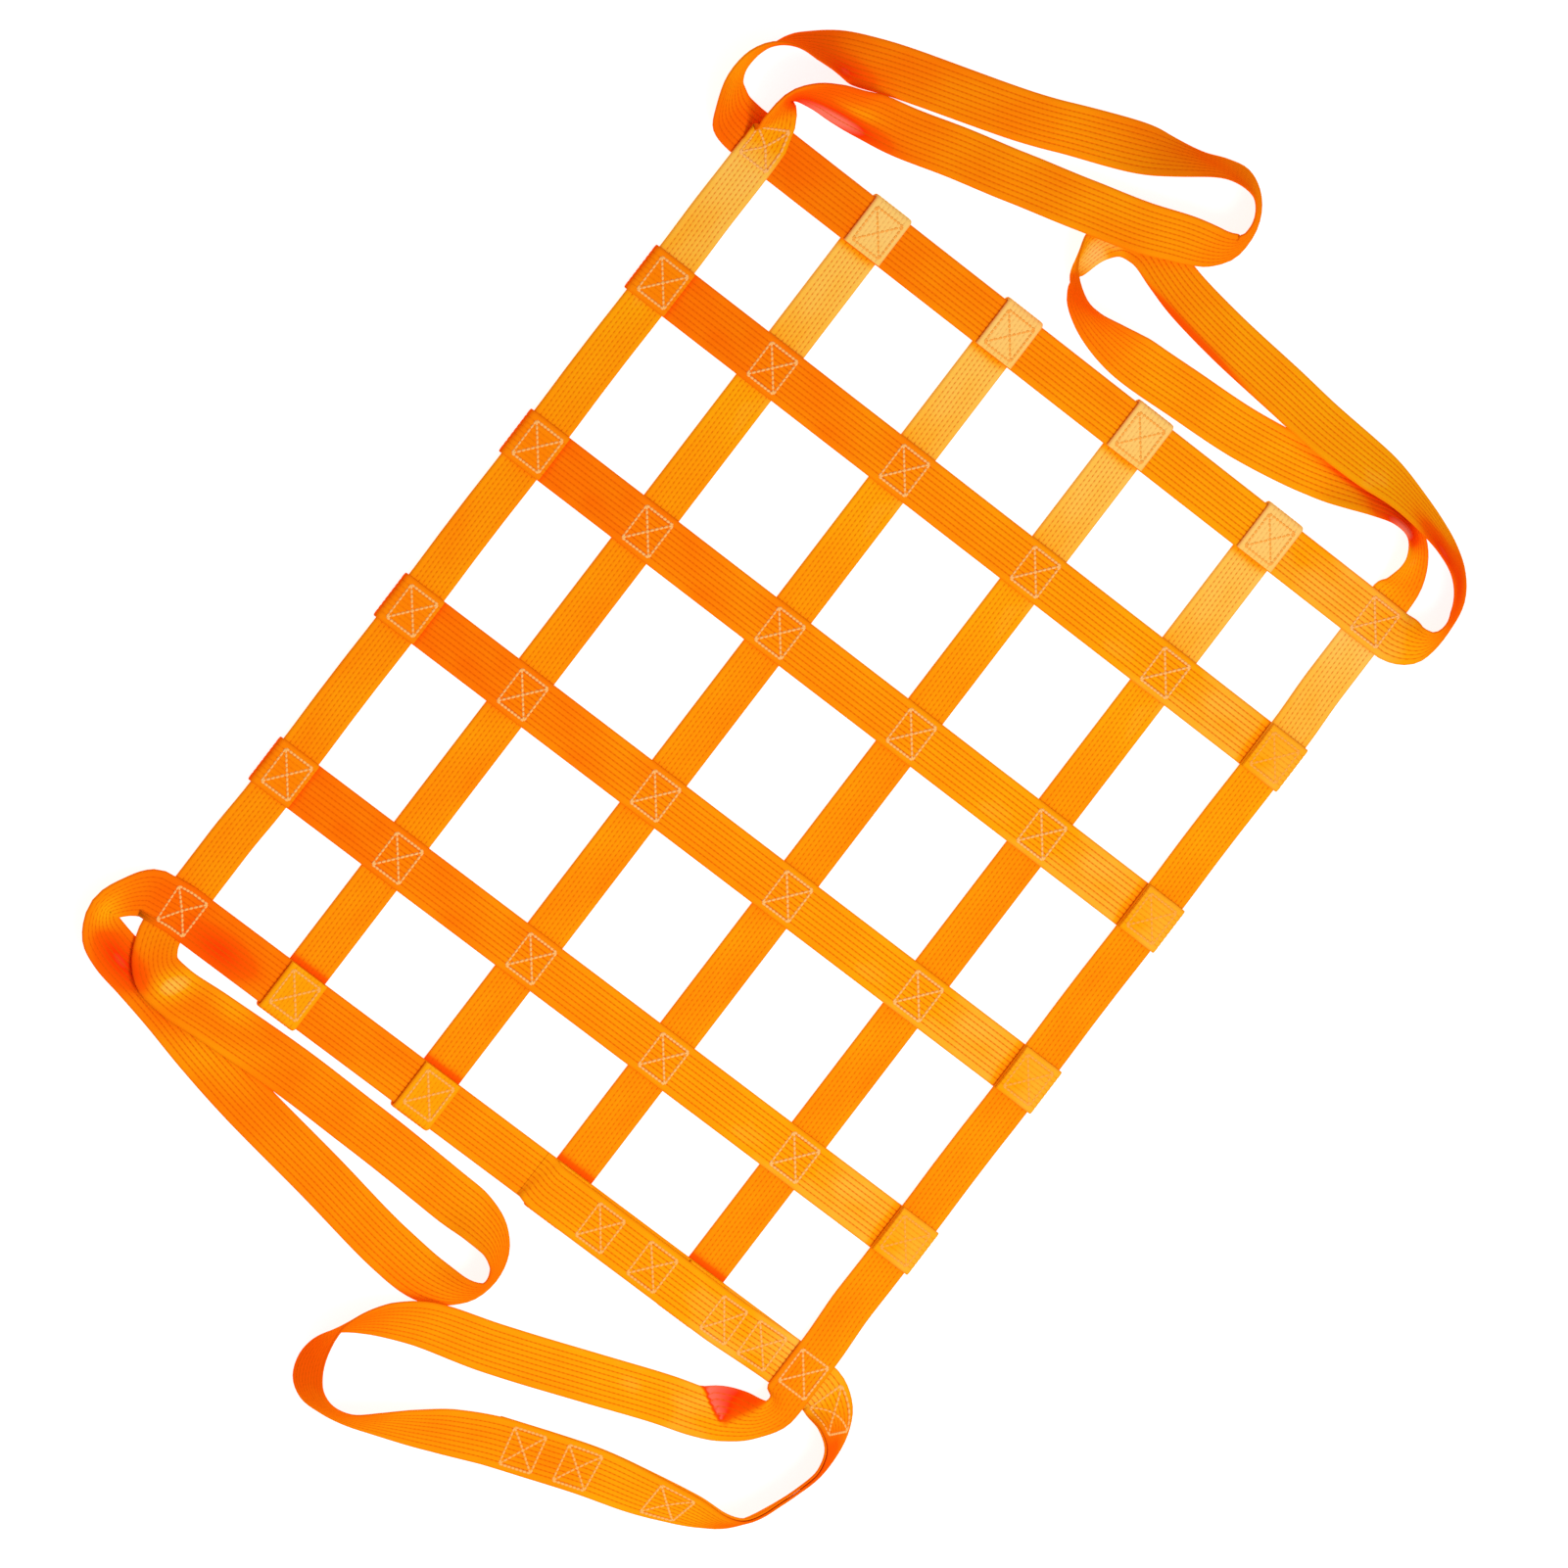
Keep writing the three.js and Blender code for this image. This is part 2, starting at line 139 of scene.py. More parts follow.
# %% Sizes of the webbing and the grid
WIDTH, THICK, PLY = 50 * MM, 2.8 * MM, 3.1 * MM
FLOOR_LEVEL = THICK / 2
PITCH, HALF = 192 * MM, 448 * MM
LINES = np.array([-1.5, -0.5, 0.5, 1.5]) * PITCH
CENTRE = np.array([4.6, 19.6, 0.0]) * MM
A, B, C, D = (np.array(p) * HALF for p in ((-1, 1), (1, 1), (1, -1), (-1, -1)))
print("straps at", LINES.round(3), "corner B at", B.round(3))

# %% [markdown]
# ## Loops
# A ribbon that bends and rolls needs a place and a roll at many stations. A cloth simulation could
# drape it, but it would not come to lie as in the picture, so a Catmull-Rom curve goes through
# every row instead and keeps its direction from one row to the next. In plan the knots are spaced
# by the square root of their distance, which stops it from making loops of its own where rows are
# close together. The roll uses evenly spaced knots.

# %% Stations of the loops
LOOP_STEP, ROLL_STEP = 6.2 * MM, 6.0


def climb(t):
    """Smooth step 3t^2 - 2t^3 of t held between 0 and 1."""
    t = np.clip(t, 0.0, 1.0)
    return t * t * (3.0 - 2.0 * t)


def hermite(p1, p2, t1, t2, f):
    """Cubic with ends p1, p2 and end slopes t1, t2, at the fractions f."""
    return p1 + t1 * f + (3 * (p2 - p1) - 2 * t1 - t2) * f**2 + (2 * (p1 - p2) + t1 + t2) * f**3


def loop_stations(table, before, after):
    """Columns x, y, roll, lift, ply along a loop: centripetal Catmull-Rom in plan, uniform for roll."""
    g = np.vstack([before, table, after])
    xy = g[:, :2] * MM
    step = np.linalg.norm(np.diff(g[:, :2], axis=0), axis=1)**0.5
    i = np.arange(1, len(g) - 2)
    d0, d1, d2 = (step[i + k][:, None] for k in (-1, 0, 1))
    x0, x1, x2, x3 = (xy[i + k] for k in (-1, 0, 1, 2))
    slope1 = ((x1 - x0) / d0 - (x2 - x0) / (d0 + d1) + (x2 - x1) / d1) * d1
    slope2 = ((x2 - x1) / d1 - (x3 - x1) / (d1 + d2) + (x3 - x2) / d2) * d1
    r0, r1, r2, r3 = (g[i + k, 2] for k in (-1, 0, 1, 2))
    length = np.linalg.norm(x2 - x1, axis=1)
    count = np.ceil(np.maximum(length / LOOP_STEP, np.abs(r2 - r1) / ROLL_STEP)).astype(int)
    seg = np.repeat(np.arange(len(i)), count)
    f = np.concatenate([np.arange(n) / n for n in count])
    plan = hermite(x1[seg], x2[seg], slope1[seg], slope2[seg], f[:, None])
    roll = hermite(r1[seg], r2[seg], 0.5 * (r2 - r0)[seg], 0.5 * (r3 - r1)[seg], f)
    lift = (g[i, 3][seg] + (g[i + 1, 3] - g[i, 3])[seg] * climb(f)) * MM
    ply = g[i, 4][seg] + (g[i + 1, 4] - g[i, 4])[seg] * f
    body = np.column_stack([plan, roll, lift, ply])
    return np.vstack([body, [*(g[-2, :2] * MM), g[-2, 2], g[-2, 3] * MM, g[-2, 4]]])


def knot(corner, roll, lift=0.0, ply=0.0):
    """A corner of the grid written as a row of a loop's table."""
    return [corner[0] / MM, corner[1] / MM, roll, lift / MM, ply]


loop_c = loop_stations(LOOP_C, knot(C, 0, 0, 1), knot(C, -180, 2 * PLY))
loop_b = loop_stations(LOOP_B, knot(B, 0), knot(B, -180, PLY))
loop_a = loop_stations(LOOP_A, knot(A, 0), knot(A, 180, PLY))
loop_d = loop_stations(LOOP_D, knot(D, 0), knot(D, 0, PLY))
print("stations of the loops", [len(s) for s in (loop_c, loop_b, loop_a, loop_d)])

# %% [markdown]
# ## Edges
# An edge of the belt is straight in plan and lies on the ends of the cross straps. Stiff webbing
# does not fall back to the floor between them, so its height is a formula: it climbs smoothly to
# each crossing and bridges from one to the next with a slight sag.

# %% Stations of the edges
EDGE_STEP = 9.5 * MM
HUMP_FLAT, HUMP_RAMP, EDGE_SAG = 26.5 * MM, 58 * MM, 0.3


def edge_stations(start, end, humps, ply=0.0):
    """Columns x, y, roll, lift, ply on a straight edge; each hump is (place along, rise).

    From one hump to the next the stiff webbing bridges and sags only by a share of the climb.
    """
    start, end = np.array(start), np.array(end)
    run = np.linalg.norm(end - start)
    along = np.linspace(0.0, run, int(run / EDGE_STEP) + 1)
    places, heights = np.array(humps).T
    between = (along > places.min()) & (along < places.max())
    base = between * (1 - EDGE_SAG) * heights.min()
    rise = base
    for at, high in humps:
        near = climb(1 - (np.abs(along - at) - HUMP_FLAT) / HUMP_RAMP)
        rise = np.maximum(rise, base + (high - base) * near)
    plan = start + (end - start) * (along / run)[:, None]
    return np.column_stack([plan, np.zeros_like(along), rise, np.full_like(along, ply)])


over_straps = [(HALF + at, PLY) for at in LINES]
edge_bc = edge_stations(C, B, over_straps + [(0.0, 2 * PLY)])
edge_ba = edge_stations(B, A, over_straps + [(0.0, PLY)])
edge_ad = edge_stations(A, D, over_straps + [(0.0, PLY)])
edge_dc = edge_stations(D, C, over_straps + [(0.0, PLY)])
print("stations of the edges", [len(s) for s in (edge_bc, edge_ba, edge_ad, edge_dc)])

# %% [markdown]
# ## Splice
# The belt's two ends lie one on the other along an edge and into a loop, and are sewn together.
# The upper layer starts with a cut end that droops on to the layer below. Over the folded strap
# ends it lies a little further out than the lower layer.

# %% Stations of the splice
SPLICE_START, LOWER_END = 68 * MM, [195, -677, 0, 0, 0]
CUT_PAST, CUT_SINK = np.array([11, 7, 3]) * MM, np.array([1.08, 0.9, 0.4]) * PLY
SPLICE_SHIFT, SHIFT_FROM, SHIFT_BACK = 3.3 * MM, (60 * MM, 14 * MM), (320 * MM, 110 * MM)
upper_humps = [(at - SPLICE_START, 2 * PLY) for at in LINES[2:]]
cut_end = np.column_stack([SPLICE_START - CUT_PAST, np.full(3, -HALF), np.zeros(3),
                           2 * PLY - CUT_SINK, np.ones(3)])
splice_upper = np.vstack([cut_end, edge_stations((SPLICE_START, -HALF), C, upper_humps, 1)])
moved_out, moved_back = (climb((splice_upper[:, 0] - start) / ramp)
                         for start, ramp in (SHIFT_FROM, SHIFT_BACK))
splice_upper[:, 1] -= SPLICE_SHIFT * (moved_out - moved_back)
lower_rows = LOOP_C[LOOP_C[:, 4] == 1] * [1, 1, 1, 1, 0]
splice_lower = loop_stations(lower_rows, knot(C, 0), LOWER_END)
print("stations of the splice", len(splice_upper), "above,", len(splice_lower), "below")

# %% [markdown]
# ## The belt
# One belt goes through all edges and loops, so its stretches are joined end to end, each with the
# roll that the stretch before it leaves. Every station then gets a middle, a direction across and
# a normal. Its roll and its lift say how high the middle is, because the webbing rests on the floor
# or on another layer.

# %% Path of the belt
def turned(stations, degrees):
    """The same run with its roll carried on from the run before it."""
    out = stations.copy()
    out[:, 2] += degrees
    return out


def headings(middle):
    """Unit direction of the run at each station, from the station behind to the one ahead."""
    ahead = np.vstack([middle[1:], middle[-1:]])
    behind = np.vstack([middle[:1], middle[:-1]])
    along = ahead - behind
    return along / np.linalg.norm(along, axis=1)[:, None]


def frames_on_floor(stations):
    """Middle, across and normal of webbing that lies, leans or stands on the floor.

    The middle stands half the width times |sin roll| plus half the thickness times |cos roll|
    above the floor, so the lower edge touches it. Across is the level left direction turned up
    by the roll, and the normal closes the right-handed set.
    """
    roll = np.radians(stations[:, 2])
    high = WIDTH / 2 * np.abs(np.sin(roll)) + FLOOR_LEVEL * np.abs(np.cos(roll)) + stations[:, 3]
    middle = np.column_stack([stations[:, :2], high])
    along = headings(middle)
    left = np.cross([0.0, 0.0, 1.0], along)
    left /= np.linalg.norm(left, axis=1)[:, None]
    across = left * np.cos(roll)[:, None] + np.outer(np.sin(roll), [0.0, 0.0, 1.0])
    across -= along * np.sum(across * along, axis=1)[:, None]
    across /= np.linalg.norm(across, axis=1)[:, None]
    normal = np.cross(along, across)
    return middle + normal * (stations[:, 4] * PLY)[:, None] + CENTRE, across, normal


def arc_length(middle):
    """Distance run along the middle line up to each station."""
    return np.concatenate([[0.0], np.cumsum(np.linalg.norm(np.diff(middle, axis=0), axis=1))])


stretches = {
    "splice_upper": splice_upper,
    "loop_c": loop_c,
    "edge_bc": turned(edge_bc, -180),
    "loop_b": turned(loop_b, -180),
    "edge_ba": turned(edge_ba, -360),
    "loop_a": turned(loop_a, -360),
    "edge_ad": turned(edge_ad, -180),
    "loop_d": turned(loop_d, -180),
    "edge_dc": turned(edge_dc, -180),
    "splice_lower": turned(splice_lower, -180),
}
belt_stations = np.vstack(list(stretches.values()))
belt_first = dict(zip(stretches, np.cumsum([0] + [len(s) for s in stretches.values()])))
belt_path = frames_on_floor(belt_stations)
belt_run = arc_length(belt_path[0])
print("belt", len(belt_stations), "stations,", round(belt_run[-1], 3), "m long")

# %% [markdown]
# ## The cross straps
# A cross strap is flat under both edges, turns up round the outer side of the edge belt and comes
# back on top, where its tail is sewn down. The straps along X also climb over those along Y. Such a
# strap keeps to one upright plane, so a profile of distance and height is all that it needs.

# %% Path of a cross strap
FOLD_RADIUS, FOLD_AT, TAIL_END = PLY, HALF + 24.2 * MM, HALF - 24 * MM
FOLD_POINTS, TAIL_POINTS, FLAT_POINTS = 13, 7, 119
BESIDE_EDGE = HALF - np.array([38, 35, 32, 29, 26, 23]) * MM


def strap_profile(crossings):
    """Distance along and height of a strap: tail, half-circle fold, floor with humps, fold, tail."""
    turn = np.linspace(0.5 * np.pi, 1.5 * np.pi, FOLD_POINTS)
    fold = np.column_stack([-FOLD_AT + FOLD_RADIUS * np.cos(turn),
                            FLOOR_LEVEL + FOLD_RADIUS * (1 + np.sin(turn))])
    tail_at = np.linspace(-TAIL_END, -FOLD_AT, TAIL_POINTS)[:-1]
    tail = np.column_stack([tail_at, np.full_like(tail_at, FLOOR_LEVEL + 2 * FOLD_RADIUS)])
    even = np.linspace(-FOLD_AT, FOLD_AT, FLAT_POINTS)[1:-1]
    flat_at = np.unique(np.concatenate([even, BESIDE_EDGE, -BESIDE_EDGE]))
    rise = np.zeros_like(flat_at)
    for at in crossings:
        rise = np.maximum(rise, PLY * climb(1 - (np.abs(flat_at - at) - HUMP_FLAT) / HUMP_RAMP))
    flat = np.column_stack([flat_at, FLOOR_LEVEL + rise])
    start = np.vstack([tail, fold])
    finish = start[::-1] * [-1, 1]
    return np.vstack([start, flat, finish])


def strap_path(profile, offset, along_x):
    """Middle, across and normal of a strap that keeps to one upright plane."""
    s, z = profile.T
    o = np.full_like(s, offset)
    middle = np.column_stack([s, o, z] if along_x else [o, s, z])
    across = np.tile([0.0, 1.0, 0.0] if along_x else [-1.0, 0.0, 0.0], (len(s), 1))
    return middle + CENTRE, across, np.cross(headings(middle), across)


x_profile, y_profile = strap_profile(LINES), strap_profile([])
x_paths = [strap_path(x_profile, at, True) for at in LINES]
y_paths = [strap_path(y_profile, at, False) for at in LINES]
strap_run = arc_length(x_paths[0][0])
print("strap", len(x_profile), "stations,", round(strap_run[-1], 3), "m long")

# %% [markdown]
# ## The section of the webbing
# Lifting webbing is woven with thick ribs between narrow grooves, where the binder yarns dip in.
# A bump in the finish would vanish along the outline, so the grooves are real relief in the mesh.
# The plain margins outside them end in a rounded selvedge.

# %% Ribbed section
GROOVE_PITCH, GROOVES, GROOVE_DEEP, GROOVE_HALF = 5 * MM, 8, 0.32 * MM, 1.1 * MM
MARGIN_FROM, MARGIN_TO, MARGIN_DROP = 21.5 * MM, 24.2 * MM, 0.25 * MM
SELVEDGE_IN, SELVEDGE_HIGH = 0.15 * MM, 0.6 * MM
groove_at = (np.arange(GROOVES) - (GROOVES - 1) / 2) * GROOVE_PITCH
face_w = np.sort(np.concatenate([groove_at, groove_at - GROOVE_HALF, groove_at + GROOVE_HALF,
                                 [-MARGIN_TO, -MARGIN_FROM, MARGIN_FROM, MARGIN_TO]]))[::-1]
face_h = np.full_like(face_w, THICK / 2)
face_h -= GROOVE_DEEP * np.isclose(face_w[:, None], groove_at, atol=1e-6).any(axis=1)
face_h[[0, -1]] -= MARGIN_DROP
edge_w = np.array([SELVEDGE_IN, 0.0, SELVEDGE_IN]) - WIDTH / 2
edge_h = np.array([SELVEDGE_HIGH, 0.0, -SELVEDGE_HIGH])
section_w = np.concatenate([face_w, edge_w, face_w[::-1], -edge_w])
section_h = np.concatenate([face_h, edge_h, -face_h[::-1], -edge_h])
print("section points", len(section_w))

# %% [markdown]
# ## Tones of the webbing
# Woven webbing has a sheen: its ribs look yellower where they catch the light and redder where
# they turn from it or where light bounces between two layers. That light and shade is painted into
# the tone, one number at each point, which its finish turns into a colour. As painted sheen, webbing
# along X gets lighter towards +X and along Y towards +Y; as painted shade, it gets redder where it leans.

# %% Tones along the belt
# painted sheen: the tone rises towards +X on runs along X and towards +Y on runs along Y
X_TONE, X_SHEEN = 0.48, 0.75
Y_TONE, Y_SHEEN, LOOSE_Y_TONE = 0.47, 3.3, 0.36
# painted shade: the tone falls where a face leans from level, more on the loops
LEAN_SHADE, LOOSE_LEAN_SHADE = 0.42, 0.5
SMOOTHED = 7


def painted_light_tone(path, loose):
    """Tone of each station: painted sheen from its place and heading, painted shade from how far its face
    leans from level.
    """
    middle, across, normal = path
    along = np.gradient(middle, axis=0)
    level = along[:, 0]**2 + along[:, 1]**2 + 1e-12
    heading_y = along[:, 1]**2 / level
    x, y = (middle - CENTRE)[:, :2].T
    along_x_tone = X_TONE + X_SHEEN * x
    along_y_tone = np.where(loose, LOOSE_Y_TONE, Y_TONE + Y_SHEEN * np.maximum(y, 0.0)**2)
    lean = (1.0 - np.abs(normal[:, 2])) * np.where(loose, LOOSE_LEAN_SHADE, LEAN_SHADE)
    return along_x_tone * (1 - heading_y) + along_y_tone * heading_y - lean


belt_loose = np.concatenate([np.full(len(s), "edge" not in name and name != "splice_upper")
                             for name, s in stretches.items()])
belt_tone = np.pad(painted_light_tone(belt_path, belt_loose), SMOOTHED // 2, mode="edge")
belt_tone = np.convolve(belt_tone, np.full(SMOOTHED, 1 / SMOOTHED), mode="valid")
belt_tone = np.tile(belt_tone[:, None], (1, len(section_w)))
print("tones from", belt_tone.min().round(2), "to", belt_tone.max().round(2))

# %% [markdown]
# ## Spots of tone
# Where a loop turns at a corner, shade and light bounced between its layers make redder spots, and
# light on its bends lighter ones. One lamp and an even surround don't show that, so each is painted
# shade or sheen: a soft oval of changed tone.
# Loop B lies over itself in places, so its way out and its way back have spots of their own.

# %% Spots on the belt
# columns: stretch, x, y, half length, half width, turn of its length from +X, change of tone
SHADE_AND_SHEEN_SPOTS = [
    ("edge_dc", -385, -457, 36, 15, 0, -1.0), ("loop_d", -470, -519, 42, 12, -10, -1.1),
    ("loop_d", -407, -510, 15, 34, -40, 0.75), ("loop_d", -337, -492, 34, 12, 0, 0.4),
    ("loop_d", -518, -497, 22, 26, 30, 0.45), ("loop_d", -330, -545, 60, 30, 8, 0.3),
    ("loop_a", -440, 548, 34, 9, 8, -1.1), ("loop_a", -404, 507, 52, 9, 8, -2.2),
    ("loop_a", -392, 524, 26, 7, 14, 0.35), ("loop_a", -525, 495, 40, 40, 60, 0.35),
    ("loop_b_back", 60, 555, 120, 5, -6, -0.9), ("loop_b_out", 330, 540, 50, 4, 4, -1.0),
    ("loop_b_back", 436, 540, 34, 10, -14, -1.6), ("loop_b_back", 486, 520, 30, 16, -52, -1.1),
    ("loop_b_out", 384, 533, 34, 8, 0, -2.3), ("loop_b_out", 440, 520, 30, 40, 60, 0.25),
    ("loop_b_back", -74, 560, 34, 26, 70, 0.9), ("loop_c", 470, -600, 18, 30, 0, -0.3),
    ("loop_c", 514, -492, 34, 26, 75, -0.4),
    ("loop_a", -200, 595, 220, 60, 15, 0.12), ("loop_c", 265, -657, 120, 30, 16, -0.22),
]
CUP_AT = (-83, 531)


def ribbon(path):
    """Points middle + across * w + normal * h for every station and section point."""
    middle, across, normal = path
    return (middle[:, None] + across[:, None] * section_w[None, :, None]
            + normal[:, None] * section_h[None, :, None])


def nearest_station(x, y, first=0, upto=None):
    """Number of the belt station nearest to a place in plan, from a first one up to a last one."""
    off = belt_path[0][first:upto, :2] - CENTRE[:2] - np.array([x, y]) * MM
    return first + np.argmin(np.linalg.norm(off, axis=1))


def soft_spot(points, x, y, long, wide, turn):
    """Weight exp(-(u/long)^2 - (v/wide)^2) of each point round a place in plan, u turned by an angle."""
    e = points[..., :2] - CENTRE[:2] - np.array([x, y]) * MM
    c, s = np.cos(np.radians(turn)), np.sin(np.radians(turn))
    u, v = e[..., 0] * c + e[..., 1] * s, e[..., 1] * c - e[..., 0] * s
    return np.exp(-(u / (long * MM))**2 - (v / (wide * MM))**2)


belt_points = ribbon(belt_path)
stretch_of = np.repeat(np.arange(len(stretches)), [len(s) for s in stretches.values()])
in_stretch = {name: stretch_of == i for i, name in enumerate(stretches)}
b_eye = nearest_station(*CUP_AT)
past_eye = np.arange(len(belt_run)) > b_eye
in_stretch["loop_b_out"] = in_stretch["loop_b"] & ~past_eye
in_stretch["loop_b_back"] = in_stretch["loop_b"] & past_eye
# each spot paints shade (a fall of tone) or sheen (a rise of tone) on the belt
for name, x, y, long, wide, turn, change in SHADE_AND_SHEEN_SPOTS:
    here = in_stretch[name]
    belt_tone[here] += change * soft_spot(belt_points[here], x, y, long, wide, turn)
print("spots of tone", len(SHADE_AND_SHEEN_SPOTS))

# %% [markdown]
# ## Cup, pocket and sealed end
# Where loop B turns over at its eye, the webbing bows into a shallow cup, because a stiff strap
# that bends and twists at once can't stay flat across. Where loop C turns sharply into its corner,
# the inner edge is too long for the turn and sinks in as a pocket, whose shade is painted into the
# tone: redder, and salmon towards its start. The cut end of the upper layer is thinned, as a sealed
# end is. Each shape is a smooth push on the belt's own points.

# %% Shapes pressed into the belt
CUP_LONG, CUP_DEEP = 16 * MM, 7 * MM
POCKET_AT, POCKET_WIDE, POCKET_LONG = (409, -524), 33 * MM, 40 * MM
POCKET_DEEP, POCKET_IN, POCKET_FLOOR = 15 * MM, 10 * MM, 0.1 * MM
POCKET_STEEP, POCKET_GENTLE, POCKET_LIP, POCKET_BLEND = 0.35, 1.65, 0.3, 0.2
# painted shade in the pocket: redder throughout, and salmon towards its start
POCKET_SHADE, POCKET_DEEP_SHADE, DEEP_SHADE_BEFORE = 1.15, 1.3, 0.25
POCKET_STATIONS = 30
SEALED = np.array([0.93, 0.5, 0.15])
cupped = np.exp(-((belt_run - belt_run[b_eye]) / CUP_LONG)**2) * in_stretch["loop_b"]
bowed = 1 - (2 * section_w / WIDTH)**2
outwards = -np.sign(belt_path[2][b_eye, 0]) * belt_path[2]
belt_points += CUP_DEEP * cupped[:, None, None] * bowed[None, :, None] * outwards[:, None]

loop_c_end = belt_first["edge_bc"]
pocket_run = belt_run[nearest_station(*POCKET_AT, loop_c_end - POCKET_STATIONS, loop_c_end)]
reach = np.clip(1 - (section_w + WIDTH / 2) / POCKET_WIDE, 0, 1)[None]
past = (belt_run[:, None] - pocket_run) / (POCKET_LONG * np.maximum(reach, 1e-3))
sunk = reach * np.clip(np.minimum((past + 1) / POCKET_STEEP, (1 - past) / POCKET_GENTLE), 0, 1)
lower = belt_points[..., 2] - POCKET_DEEP * sunk * np.minimum((1 - reach) / POCKET_LIP, 1)
belt_points[..., 2] = np.where(sunk > 0, np.maximum(lower, POCKET_FLOOR), belt_points[..., 2])
belt_points[..., 1] += POCKET_IN * reach * np.clip(1 - past**2, 0, 1)
# paint the pocket's shade into the belt's tone
redder = POCKET_SHADE + POCKET_DEEP_SHADE * np.clip(DEEP_SHADE_BEFORE - past, 0, 1)
belt_tone -= redder * np.clip(sunk / POCKET_BLEND, 0, 1)

belt_points[:len(SEALED), :, 2] -= SEALED[:, None] * (section_h + THICK / 2)
print("cup", CUP_DEEP, "m deep, pocket reaches", POCKET_WIDE, "m in from the edge")

# %% [markdown]
# ## The belt's mesh
# A ribbon could be a flat sheet with a Solidify modifier, but here the ribs are part of its section,
# so the section is carried along the path and closed at both ends. Each point also keeps its run
# and its place across as a map, for a weave that follows the cloth through every bend.

# %% Belt piece
END_RING = 0.03


def between_rings(values, at):
    """Values between the rows of an array, at fractional row numbers."""
    low = np.minimum(at.astype(int), len(values) - 2)
    share = (at - low).reshape(-1, *[1] * (values.ndim - 1))
    return values[low] * (1 - share) + values[low + 1] * share


def webbing_mesh(name, points, run, tone, plain):
    """A closed ribbon from its points, with a map of the weave, a tone and a plainness.

    One more ring lies close to each cut end, so that the smooth faces stay clear of the flat ends.
    The ribs of webbing along X stand in line with the light, so there they show as stripes.
    """
    rings, n = points.shape[:2]
    at = np.concatenate([[0, END_RING], np.arange(1, rings - 1), [rings - 1 - END_RING, rings - 1]])
    points, run = between_rings(points, at), between_rings(run, at)
    tone, plain = (between_rings(np.broadcast_to(v, (rings, n)), at) for v in (tone, plain))
    rings = len(at)
    i, k = np.meshgrid(np.arange(rings - 1), np.arange(n), indexing="ij")
    k2 = (k + 1) % n
    quads = np.stack([i * n + k, i * n + k2, (i + 1) * n + k2, (i + 1) * n + k], axis=-1).reshape(-1, 4)
    caps = [np.arange(n)[::-1], (rings - 1) * n + np.arange(n)]
    corners = np.concatenate([*caps, quads.ravel()])
    sizes = np.concatenate([[n, n], np.full(len(quads), 4)])
    mesh = bpy.data.meshes.new(name)
    mesh.vertices.add(rings * n)
    mesh.vertices.foreach_set("co", points.astype(np.float32).ravel())
    mesh.loops.add(len(corners))
    mesh.loops.foreach_set("vertex_index", corners.astype(np.int32))
    mesh.polygons.add(len(sizes))
    mesh.polygons.foreach_set("loop_start", np.concatenate([[0], np.cumsum(sizes)[:-1]]).astype(np.int32))
    mesh.polygons.foreach_set("use_smooth", np.concatenate([[0, 0], np.ones(len(quads))]).astype(bool))
    mesh.update(calc_edges=True)
    weave = np.column_stack([run[corners // n], section_w[corners % n]])
    mesh.uv_layers.new(name="weave").data.foreach_set("uv", weave.astype(np.float32).ravel())
    along = np.gradient(points.mean(axis=1), axis=0)
    striped = along[:, 0]**2 / (along[:, 0]**2 + along[:, 1]**2 + 1e-12)
    for key, values in (("tone", tone), ("plain", plain), ("striped", striped[:, None])):
        attribute = mesh.attributes.new(key, "FLOAT", "POINT")
        attribute.data.foreach_set("value", np.broadcast_to(values, (rings, n)).astype(np.float32).ravel())
    mesh.validate()
    piece = bpy.data.objects.new(name, mesh)
    bpy.context.collection.objects.link(piece)
    return piece


belt_piece = webbing_mesh("belt", belt_points, belt_run, belt_tone, 0.0)
print("belt triangles", 2 * len(belt_piece.data.polygons))

# %% [markdown]
# ## The straps' meshes
# The straps use the same mesh with their own paths. Beside the edge belt they lie a little in its
# shade, which is painted in as a redder tone, and their sewn-down tails get a painted sheen, mostly
# lighter, and show less of the weave.

# %% Cross strap pieces
# painted shadow of the edge belt beside it, and painted sheen on the tails
SHADE_AT, SHADE_LONG = HALF - 26 * MM, 5 * MM
X_SHADE, X_TAIL_SHEEN = 0.25, 0.05 - 0.35 * x_profile[:, 0]
Y_SHADE, Y_TAIL_SHEEN = np.where(x_profile[:, 0] < 0, 0.8, 0.35), 0.2
tail = (x_profile[:, 1] > FLOOR_LEVEL + 1.5 * FOLD_RADIUS) * 1.0
shaded = np.exp(-((np.abs(x_profile[:, 0]) - SHADE_AT) / SHADE_LONG)**2) * (1 - tail)


def cross_straps(axis, paths, shadow, paler):
    """The four straps of one axis, painted redder beside the edge belt as its shadow and given a painted
    sheen on their tails.
    """
    shades = [painted_light_tone(p, False) + paler * tail - shadow * shaded for p in paths]
    return [webbing_mesh(f"strap_{axis}{i + 1}", ribbon(p), strap_run, tone[:, None], tail[:, None])
            for i, (p, tone) in enumerate(zip(paths, shades))]


x_pieces = cross_straps("x", x_paths, X_SHADE, X_TAIL_SHEEN)
y_pieces = cross_straps("y", y_paths, Y_SHADE, Y_TAIL_SHEEN)
print("straps", [p.name for p in x_pieces + y_pieces])

# %% [markdown]
# ## A stitch
# A stitch is a short thread that comes up out of the webbing and goes down again. A curve with a
# bevel would do for one, but the net has thousands, so each is a low capsule of few faces.

